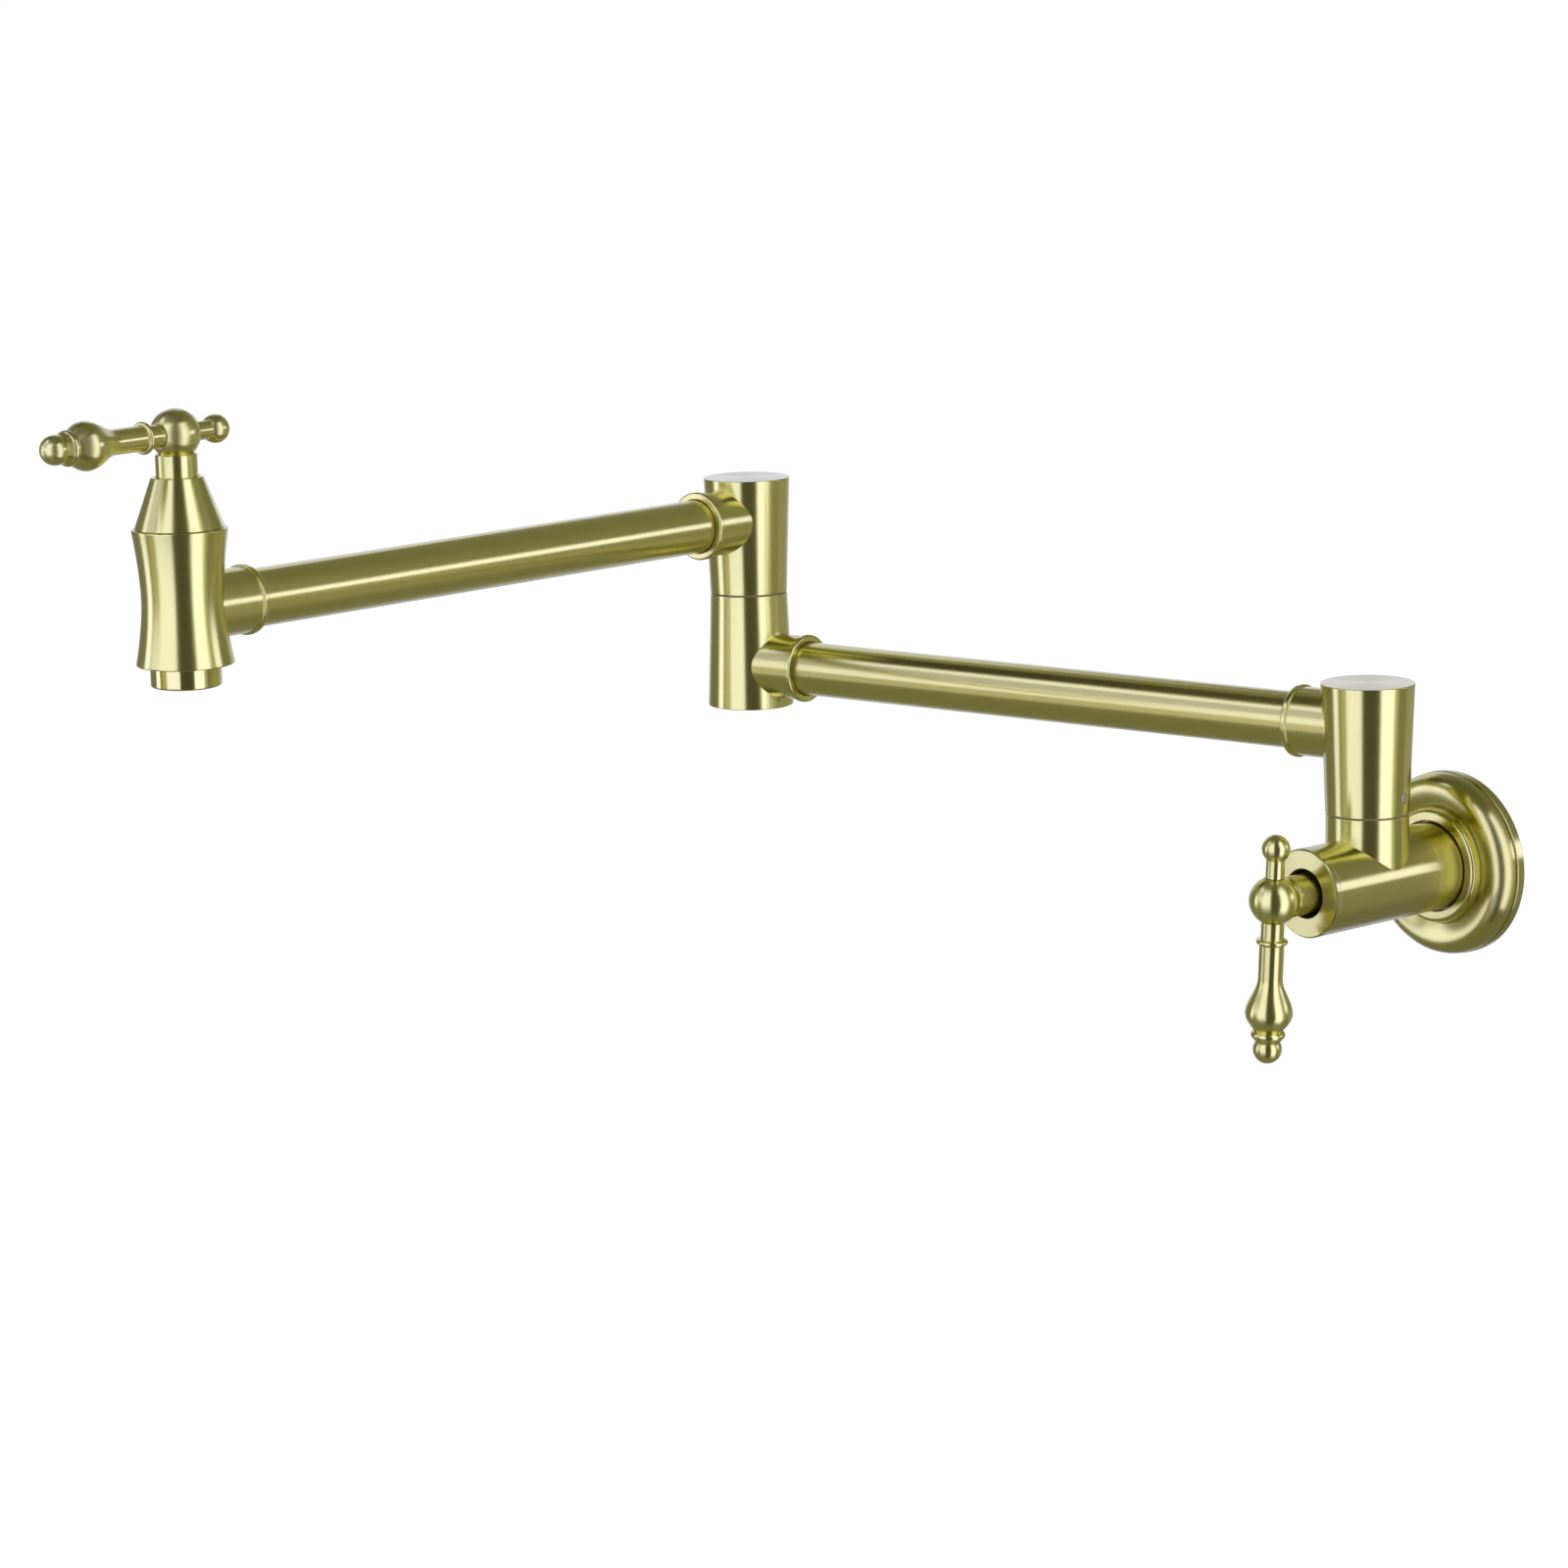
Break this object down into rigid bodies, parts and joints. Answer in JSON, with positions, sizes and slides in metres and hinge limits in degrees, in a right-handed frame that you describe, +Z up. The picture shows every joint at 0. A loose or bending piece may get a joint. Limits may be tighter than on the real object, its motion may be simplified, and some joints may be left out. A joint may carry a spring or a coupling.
{
  "type": "wall mounted pot filler",
  "caption": "Wall mounted folding pot filler in satin brass: jointed swing arms, a lever valve at the wall and a lever valve over the outlet.",
  "frame": {"origin": "where the axis of the supply pipe meets the finished wall", "axes": "+Y into the wall along the supply pipe, +Z up, +X to the right for someone who faces the wall; the spout arms stand out along -Y"},
  "size_m": [0.3129, 0.4359, 0.2348],
  "materials": {
    "satin_brass": "satin brushed brass with a clear protective coat",
    "polished_brass": "polished brass",
    "bare_brass": "bare machined brass",
    "steel": "stainless steel grub screws",
    "black_rubber": "moulded black rubber",
    "red_fibre": "pressed fibre",
    "dark_nylon": "dark low-friction nylon",
    "white_ceramic": "lapped white ceramic",
    "pale_plastic": "moulded plastic"
  },
  "bodies": {
    "wall_valve": {"wall_flange": "satin_brass", "flange_gasket": "black_rubber", "flange_grip_ring": "black_rubber", "inlet_adaptor": "satin_brass", "pipe_washer": "red_fibre", "adaptor_washer": "red_fibre", "valve_body": "satin_brass", "wall_bonnet": "satin_brass", "wall_seat_seal": "black_rubber", "wall_fixed_disc": "white_ceramic", "wall_cartridge": "bare_brass", "wall_retaining_nut": "bare_brass", "wall_swivel_spigot": "bare_brass", "wall_swivel_seal_low": "black_rubber", "wall_swivel_seal_high": "black_rubber", "wall_glide_washer": "dark_nylon"},
    "wall_handle": {"wall_handle_hub": "satin_brass", "wall_lever": "satin_brass", "wall_finial": "satin_brass", "wall_handle_screw": "steel", "wall_moving_disc": "white_ceramic", "wall_spindle": "bare_brass", "wall_spindle_seal": "black_rubber"},
    "arm_1": {"wall_elbow": "satin_brass", "wall_elbow_screw": "steel", "arm_1_tube": "satin_brass", "middle_lower_elbow": "satin_brass", "middle_swivel_spigot": "bare_brass", "middle_swivel_seal_low": "black_rubber", "middle_swivel_seal_high": "black_rubber", "middle_glide_washer": "dark_nylon"},
    "arm_2": {"middle_upper_elbow": "satin_brass", "middle_elbow_screw": "steel", "arm_2_tube": "satin_brass", "outlet_head": "satin_brass", "outlet_bonnet": "satin_brass", "aerator_housing": "polished_brass", "aerator_insert": "pale_plastic", "aerator_washer": "black_rubber", "outlet_seat_seal": "black_rubber", "outlet_fixed_disc": "white_ceramic", "outlet_cartridge": "bare_brass", "outlet_retaining_nut": "bare_brass"},
    "outlet_handle": {"outlet_handle_hub": "satin_brass", "outlet_lever": "satin_brass", "outlet_finial": "satin_brass", "outlet_handle_screw": "steel", "outlet_moving_disc": "white_ceramic", "outlet_spindle": "bare_brass", "outlet_spindle_seal": "black_rubber"}
  },
  "joints": [
    {"name": "wall_swivel", "type": "hinge", "parent": "wall_valve", "child": "arm_1", "pos_m": [0, -0.04535, 0.02415], "axis": [0, 0, 1], "range_deg": [-12, 167]},
    {"name": "middle_swivel", "type": "hinge", "parent": "arm_1", "child": "arm_2", "pos_m": [-0.26399, -0.10436, 0.08145], "axis": [0, 0, 1], "continuous": true},
    {"name": "wall_lever_turn", "type": "hinge", "parent": "wall_valve", "child": "wall_handle", "pos_m": [0, -0.0918, 0], "axis": [0, -1, 0], "range_deg": [0, 90]},
    {"name": "outlet_lever_turn", "type": "hinge", "parent": "arm_2", "child": "outlet_handle", "pos_m": [-0.22784, -0.37889, 0.16835], "axis": [0, 0, 1], "range_deg": [0, 90]}
  ]
}
